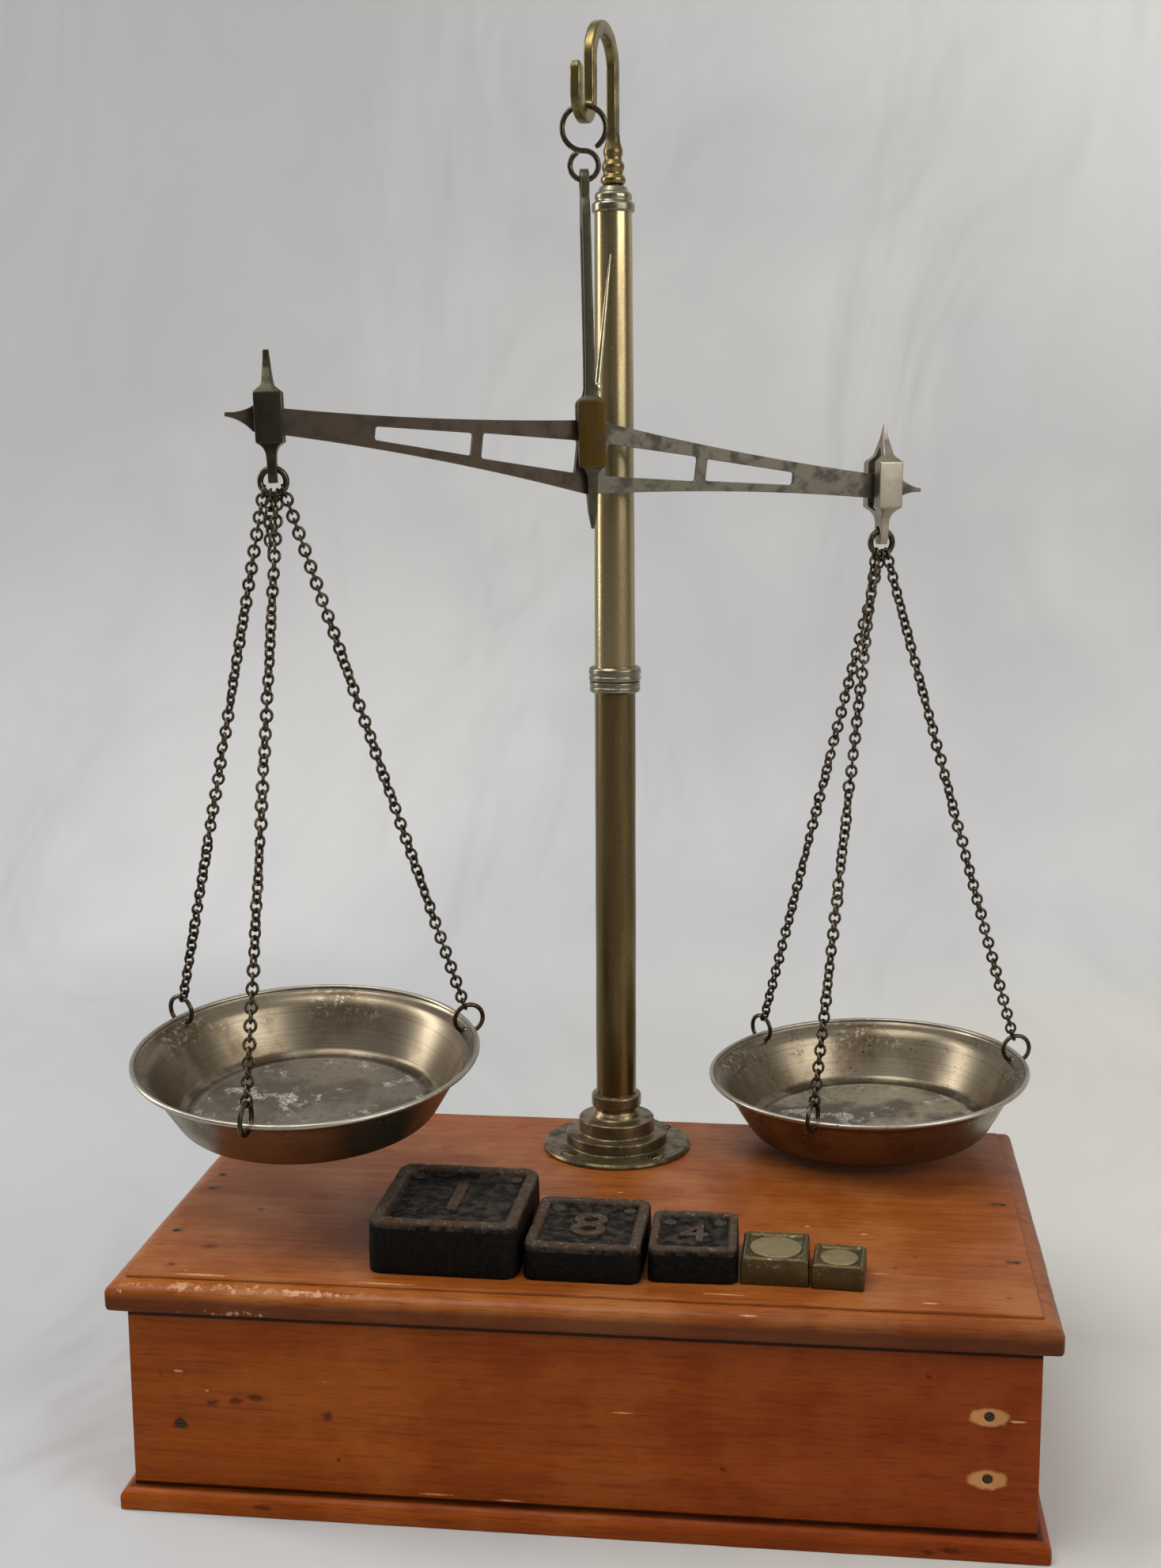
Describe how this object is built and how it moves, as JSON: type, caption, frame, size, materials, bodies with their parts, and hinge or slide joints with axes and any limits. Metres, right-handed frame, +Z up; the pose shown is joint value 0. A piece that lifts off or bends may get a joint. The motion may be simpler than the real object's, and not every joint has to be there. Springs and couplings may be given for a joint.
{
  "type": "counter scale",
  "caption": "Equal-arm counter scale: a moulded wooden box, a brass column with a crook, a beam on knife edges, pans on chains and square weights.",
  "frame": {"origin": "centre of the underside of the base board, where the scale stands on the counter", "axes": "+X to the right along the front, +Y to the back, +Z up along the column"},
  "size_m": [0.4021, 0.2719, 0.6137],
  "materials": {
    "lid_wood": "worn varnish, orange-brown",
    "case_wood": "worn varnish, deep orange-brown",
    "column_brass": "aged, golden olive",
    "flange_brass": "dull, greenish tarnish",
    "collar_brass": "dull grey, worn plating",
    "crook_brass": "aged",
    "dark_bronze": "dark, almost black",
    "beam_metal": "dull grey-brown, speckled",
    "shears_metal": "dull brass with worn plating",
    "stirrup_dark": "dark olive tarnish",
    "stirrup_pale": "pale worn nickel",
    "knife_steel": "dark hardened steel",
    "pan_metal": "tarnished nickel plate",
    "weight_iron": "black with rusty rims",
    "weight_brass": "yellow-green tarnish",
    "lead": "dull grey",
    "screw_steel": "dark, rusted"
  },
  "bodies": {
    "stand": {"lid_board": "lid_wood", "front_board": "case_wood", "back_board": "case_wood", "left_end_board": "case_wood", "right_end_board": "case_wood", "base_board": "case_wood", "corner_blocks": "case_wood", "front_screws": "screw_steel", "lid_nails": "screw_steel", "column_flange": "flange_brass", "flange_screws": "screw_steel", "lower_tube": "column_brass", "lower_collar": "collar_brass", "upper_collar": "collar_brass", "upper_tube": "column_brass", "tube_spigot": "column_brass", "column_cap": "collar_brass", "crook_hook": "crook_brass"},
    "hook": {"s_hook": "dark_bronze"},
    "shears": {"shears": "shears_metal", "shears_bearings": "knife_steel"},
    "beam": {"beam": "beam_metal", "centre_knife": "knife_steel", "end_knife_left": "knife_steel", "end_knife_right": "knife_steel", "pointer": "beam_metal"},
    "left_stirrup": {"stirrup_left": "stirrup_dark", "stirrup_left_bearings": "knife_steel"},
    "right_stirrup": {"stirrup_right": "stirrup_pale", "stirrup_right_bearings": "knife_steel"},
    "left_pan": {"main_ring_left": "dark_bronze", "chain_left_1": "dark_bronze", "chain_left_2": "dark_bronze", "chain_left_3": "dark_bronze", "balance_tail": "dark_bronze", "pan_left": "pan_metal", "eye_rings_left": "dark_bronze"},
    "right_pan": {"main_ring_right": "dark_bronze", "chain_right_1": "dark_bronze", "chain_right_2": "dark_bronze", "chain_right_3": "dark_bronze", "pan_right": "pan_metal", "eye_rings_right": "dark_bronze"},
    "weight_one_pound_body": {"weight_one_pound": "weight_iron", "weight_one_pound_plugs": "lead"},
    "weight_eight_ounce_body": {"weight_eight_ounce": "weight_iron", "weight_eight_ounce_plugs": "lead"},
    "weight_four_ounce_body": {"weight_four_ounce": "weight_iron", "weight_four_ounce_plugs": "lead"},
    "weight_two_ounce_body": {"weight_two_ounce": "weight_brass"},
    "weight_one_ounce_body": {"weight_one_ounce": "weight_brass"}
  },
  "joints": [
    {"name": "hook_swing", "type": "hinge", "parent": "stand", "child": "hook", "pos_m": [-0.00853, 0.03037, 0.57505], "axis": [-0.225, -0.9744, 0], "range_deg": [-2.5, 2.5]},
    {"name": "shears_swing", "type": "hinge", "parent": "hook", "child": "shears", "pos_m": [-0.00853, 0.03037, 0.54435], "axis": [0.9781, 0.2079, 0], "range_deg": [-3, 3]},
    {"name": "beam_tilt", "type": "hinge", "parent": "shears", "child": "beam", "pos_m": [-0.0063, 0.0308, 0.4297], "axis": [-0.3939, 0.9191, 0], "range_deg": [-6.2, 1]},
    {"name": "left_stirrup_swing", "type": "hinge", "parent": "beam", "child": "left_stirrup", "pos_m": [-0.13413, -0.02399, 0.44486], "axis": [-0.3939, 0.9191, 0], "range_deg": [-4, 7]},
    {"name": "right_stirrup_swing", "type": "hinge", "parent": "beam", "child": "right_stirrup", "pos_m": [0.12153, 0.08559, 0.41454], "axis": [-0.3939, 0.9191, 0], "range_deg": [-4, 7]},
    {"name": "left_pan_swing", "type": "hinge", "parent": "left_stirrup", "child": "left_pan", "pos_m": [-0.13361, -0.0239, 0.42425], "axis": [0.9778, 0.2078, 0.0258], "range_deg": [-4, 4]},
    {"name": "right_pan_swing", "type": "hinge", "parent": "right_stirrup", "child": "right_pan", "pos_m": [0.12139, 0.08557, 0.39393], "axis": [0.9191, 0.3939, -0.0067], "range_deg": [-4, 4]},
    {"name": "one_pound_lift", "type": "slide", "parent": "stand", "child": "weight_one_pound_body", "axis": [0, 0, 1], "range_m": [0, 0.01]},
    {"name": "eight_ounce_lift", "type": "slide", "parent": "stand", "child": "weight_eight_ounce_body", "axis": [0, 0, 1], "range_m": [0, 0.04]},
    {"name": "four_ounce_lift", "type": "slide", "parent": "stand", "child": "weight_four_ounce_body", "axis": [0, 0, 1], "range_m": [0, 0.04]},
    {"name": "two_ounce_lift", "type": "slide", "parent": "stand", "child": "weight_two_ounce_body", "axis": [0, 0, 1], "range_m": [0, 0.04]},
    {"name": "one_ounce_lift", "type": "slide", "parent": "stand", "child": "weight_one_ounce_body", "axis": [0, 0, 1], "range_m": [0, 0.04]}
  ]
}
